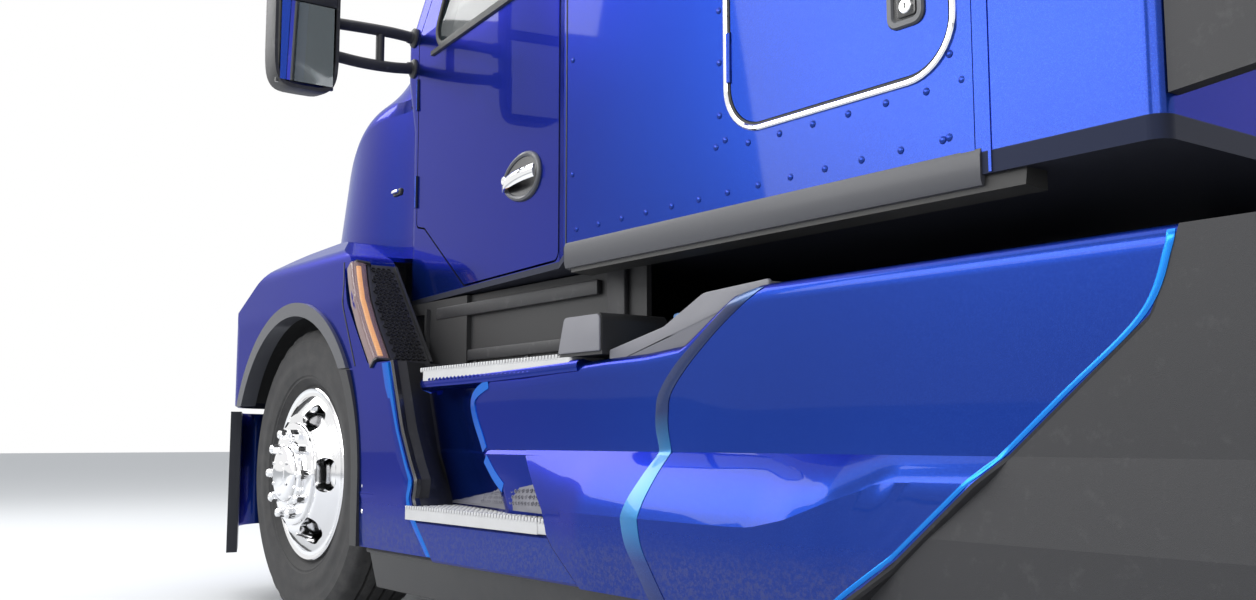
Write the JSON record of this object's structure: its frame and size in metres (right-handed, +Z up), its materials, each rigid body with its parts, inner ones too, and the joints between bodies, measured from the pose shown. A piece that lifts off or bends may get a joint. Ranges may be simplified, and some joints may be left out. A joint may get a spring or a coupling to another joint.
{
  "type": "semi truck tractor unit",
  "caption": "Conventional semi truck tractor unit with raised roof sleeper, aerodynamic side skirts, tandem drive axles and a fifth wheel.",
  "frame": {"origin": "on the ground below the centre of the bounding box", "axes": "+X forward, +Y to the vehicle's left, +Z up"},
  "size_m": [7.958, 3.02, 3.9],
  "materials": {
    "body_blue": "gloss",
    "frame_black": "satin",
    "axle_iron": "matte",
    "engine_grey": "matte",
    "glazing": "gloss",
    "trim_plastic": "matte",
    "seat_fabric": "matte",
    "black_plastic": "matte",
    "tread_aluminium": "satin",
    "lip_rubber": "matte",
    "tank_aluminium": "satin",
    "mirror_glass": "gloss",
    "lamp_clear": "gloss",
    "lamp_red": "gloss",
    "lamp_amber": "gloss",
    "polished_steel": "satin",
    "grille_chrome": "gloss",
    "tyre_rubber": "matte",
    "rim_aluminium": "polished"
  },
  "bodies": {
    "chassis": {"frame_rails": "frame_black", "front_axle": "axle_iron", "drive_axles": "axle_iron", "rear_suspension": "axle_iron", "engine_block": "engine_grey", "cab_shell": "body_blue", "sleeper_shell": "body_blue", "windshield": "glazing", "cab_interior": "trim_plastic", "seats": "seat_fabric", "step_wells": "black_plastic", "step_treads": "tread_aluminium", "side_skirts": "body_blue", "tail_fairings": "black_plastic", "lower_lips": "lip_rubber", "fuel_tanks": "tank_aluminium", "side_extenders": "black_plastic", "mirrors": "black_plastic", "mirror_glasses": "mirror_glass", "bumper": "body_blue", "bumper_ends": "black_plastic", "fog_lamps": "lamp_clear", "deck_plate": "tread_aluminium", "fifth_wheel_base": "axle_iron", "mud_flaps": "lip_rubber", "tail_lamps": "lamp_red", "exhaust_stack": "polished_steel"},
    "hood": {"hood_shell": "body_blue", "grille": "grille_chrome", "headlamps": "lamp_clear", "arch_flares": "black_plastic", "side_lamps": "lamp_amber"},
    "steer_left": {"knuckle_left": "axle_iron"},
    "steer_right": {"knuckle_right": "axle_iron"},
    "tie_rod": {"tie_rod": "axle_iron"},
    "door_left": {"door_left": "body_blue", "door_glass_left": "glazing"},
    "door_right": {"door_right": "body_blue", "door_glass_right": "glazing"},
    "luggage_door_left": {"luggage_door_left": "body_blue"},
    "luggage_door_right": {"luggage_door_right": "body_blue"},
    "fifth_wheel": {"fifth_wheel_plate": "axle_iron"},
    "steering_wheel": {"steering_wheel": "trim_plastic"},
    "wheel_front_left": {"front_left_tyre": "tyre_rubber", "front_left_rim": "rim_aluminium"},
    "wheel_front_right": {"front_right_tyre": "tyre_rubber", "front_right_rim": "rim_aluminium"},
    "wheels_drive1_left": {"drive1_left_tyres": "tyre_rubber", "drive1_left_rims": "rim_aluminium"},
    "wheels_drive1_right": {"drive1_right_tyres": "tyre_rubber", "drive1_right_rims": "rim_aluminium"},
    "wheels_drive2_left": {"drive2_left_tyres": "tyre_rubber", "drive2_left_rims": "rim_aluminium"},
    "wheels_drive2_right": {"drive2_right_tyres": "tyre_rubber", "drive2_right_rims": "rim_aluminium"}
  },
  "joints": [
    {"name": "hood_tilt", "type": "hinge", "parent": "chassis", "child": "hood", "pos_m": [3.915, 0, 0.8], "axis": [0, 1, 0], "range_deg": [0, 78]},
    {"name": "steer_left", "type": "hinge", "parent": "chassis", "child": "steer_left", "pos_m": [2.72, 0.93, 0.51], "axis": [0, 0, 1], "range_deg": [-45, 45]},
    {"name": "steer_right", "type": "hinge", "parent": "chassis", "child": "steer_right", "pos_m": [2.72, -0.93, 0.51], "axis": [0, 0, 1], "range_deg": [-45, 45]},
    {"name": "tie_rod_pin", "type": "hinge", "parent": "steer_left", "child": "tie_rod", "pos_m": [2.53, 0.93, 0.395], "axis": [0, 0, 1], "range_deg": [-45, 45]},
    {"name": "spin_front_left", "type": "hinge", "parent": "steer_left", "child": "wheel_front_left", "pos_m": [2.72, 1.05, 0.51], "axis": [0, 1, 0], "continuous": true},
    {"name": "spin_front_right", "type": "hinge", "parent": "steer_right", "child": "wheel_front_right", "pos_m": [2.72, -1.05, 0.51], "axis": [0, 1, 0], "continuous": true},
    {"name": "spin_drive1_left", "type": "hinge", "parent": "chassis", "child": "wheels_drive1_left", "pos_m": [-1.92, 0.913, 0.51], "axis": [0, 1, 0], "continuous": true},
    {"name": "spin_drive1_right", "type": "hinge", "parent": "chassis", "child": "wheels_drive1_right", "pos_m": [-1.92, -0.913, 0.51], "axis": [0, 1, 0], "continuous": true},
    {"name": "spin_drive2_left", "type": "hinge", "parent": "chassis", "child": "wheels_drive2_left", "pos_m": [-3.24, 0.913, 0.51], "axis": [0, 1, 0], "continuous": true},
    {"name": "spin_drive2_right", "type": "hinge", "parent": "chassis", "child": "wheels_drive2_right", "pos_m": [-3.24, -0.913, 0.51], "axis": [0, 1, 0], "continuous": true},
    {"name": "open_door_left", "type": "hinge", "parent": "chassis", "child": "door_left", "pos_m": [2.29, 0.9869, 1.9], "axis": [0, 0, -1], "range_deg": [0, 70]},
    {"name": "open_luggage_door_left", "type": "hinge", "parent": "chassis", "child": "luggage_door_left", "pos_m": [0.47, 1.15, 1.6], "axis": [0, 0, -1], "range_deg": [0, 100]},
    {"name": "open_door_right", "type": "hinge", "parent": "chassis", "child": "door_right", "pos_m": [2.29, -0.9869, 1.9], "axis": [0, 0, 1], "range_deg": [0, 70]},
    {"name": "open_luggage_door_right", "type": "hinge", "parent": "chassis", "child": "luggage_door_right", "pos_m": [0.47, -1.15, 1.6], "axis": [0, 0, 1], "range_deg": [0, 100]},
    {"name": "fifth_wheel_tilt", "type": "hinge", "parent": "chassis", "child": "fifth_wheel", "pos_m": [-2.48, 0, 1.15], "axis": [0, 1, 0], "range_deg": [-12, 12]},
    {"name": "steering_wheel_turn", "type": "hinge", "parent": "chassis", "child": "steering_wheel", "pos_m": [1.71, 0.52, 1.84], "axis": [-0.5736, 0, 0.8192], "range_deg": [-810, 810]}
  ],
  "couplings": [
    {"joint": "steer_right", "follows": "steer_left", "ratio": 1},
    {"joint": "tie_rod_pin", "follows": "steer_left", "ratio": -1},
    {"joint": "steering_wheel_turn", "follows": "steer_left", "ratio": 18}
  ]
}
